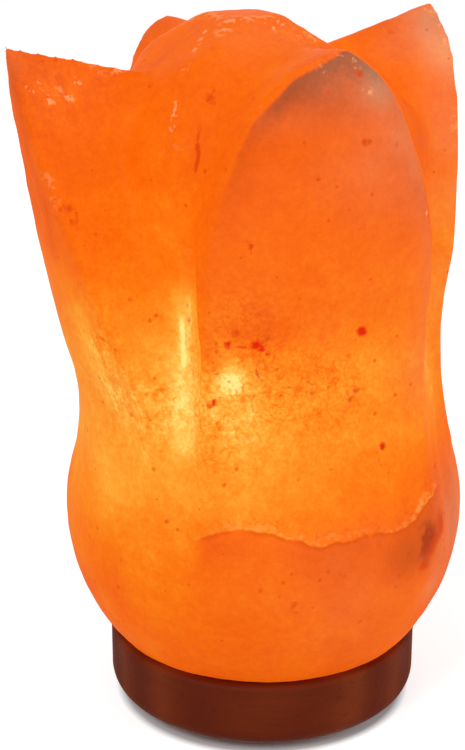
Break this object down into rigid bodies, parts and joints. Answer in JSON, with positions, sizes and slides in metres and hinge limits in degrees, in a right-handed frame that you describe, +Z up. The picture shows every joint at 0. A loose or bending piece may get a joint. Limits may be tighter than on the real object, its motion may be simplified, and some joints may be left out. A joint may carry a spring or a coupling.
{
  "type": "salt crystal lamp",
  "caption": "Salt crystal lamp carved as a tulip on a turned wooden base, lit by a small bulb whose holder on spring wings pulls down out of the bore.",
  "frame": {"origin": "on the table under the axis of the round base, in the plane that the non-slip ring stands on", "axes": "+Z up along the axis of the base and of the bore; -Y is the front, the side the picture shows; +Y is the side where the cord channel leaves the base"},
  "size_m": [0.1375, 0.1274, 0.223],
  "materials": {
    "rock_salt": "hand-carved, satin, glowing from inside",
    "dark_wood": "dark brown stain, satin",
    "black_rubber": "matte",
    "zinc_steel": "zinc plated",
    "white_nylon": "matte",
    "black_phenolic": "moulded, semi-gloss",
    "soft_grommet": "soft, matte",
    "white_ceramic": "unglazed",
    "brass": "bright",
    "spring_brass": "satin",
    "spring_steel": "nickel plated",
    "bulb_brass": "nickel-plated thread",
    "black_glass": "black glass",
    "solder": "dull solder",
    "clear_glass": "clear",
    "stem_glass": "clear",
    "nickel_wire": "drawn",
    "hot_tungsten": "glowing"
  },
  "bodies": {
    "base": {"salt_crystal": "rock_salt", "wood_base": "dark_wood", "non_slip_ring": "black_rubber", "base_screws": "zinc_steel", "crystal_anchors": "white_nylon"},
    "lamp_holder": {"holder_body": "black_phenolic", "holder_cap": "black_phenolic", "inlet_bush": "soft_grommet", "contact_block": "white_ceramic", "screw_shell": "brass", "centre_contact": "spring_brass", "shell_terminal": "brass", "centre_terminal": "brass", "terminal_screws": "zinc_steel", "contact_rivets": "brass", "clip_strap": "spring_steel"},
    "wing_right": {"clip_wing_right": "spring_steel"},
    "wing_left": {"clip_wing_left": "spring_steel"},
    "bulb_base": {"bulb_cap": "bulb_brass", "cap_insulator": "black_glass", "cap_contact": "solder"},
    "bulb": {"bulb_glass": "clear_glass", "bulb_stem": "stem_glass", "lead_wires": "nickel_wire", "filament": "hot_tungsten", "filament_support": "nickel_wire"}
  },
  "joints": [
    {"name": "holder_pull", "type": "slide", "parent": "base", "child": "lamp_holder", "axis": [0, 0, -1], "range_m": [0, 0.13]},
    {"name": "wing_right_press", "type": "hinge", "parent": "lamp_holder", "child": "wing_right", "pos_m": [0.0158, 0, 0.074], "axis": [0, 1, 0], "range_deg": [0, 6], "stiffness_Nm_per_rad": 0.2, "springref_deg": -8.59},
    {"name": "wing_left_press", "type": "hinge", "parent": "lamp_holder", "child": "wing_left", "pos_m": [-0.0158, 0, 0.074], "axis": [0, -1, 0], "range_deg": [0, 6], "stiffness_Nm_per_rad": 0.2, "springref_deg": -8.59},
    {"name": "bulb_lift", "type": "slide", "parent": "lamp_holder", "child": "bulb_base", "axis": [0, 0, 1], "range_m": [0, 0.0141]},
    {"name": "bulb_turn", "type": "hinge", "parent": "bulb_base", "child": "bulb", "pos_m": [0, 0, 0.1], "axis": [0, 0, 1], "range_deg": [0, 1800.1]}
  ],
  "couplings": [
    {"joint": "bulb_turn", "follows": "bulb_lift", "rad_per_m": 2228.1}
  ]
}
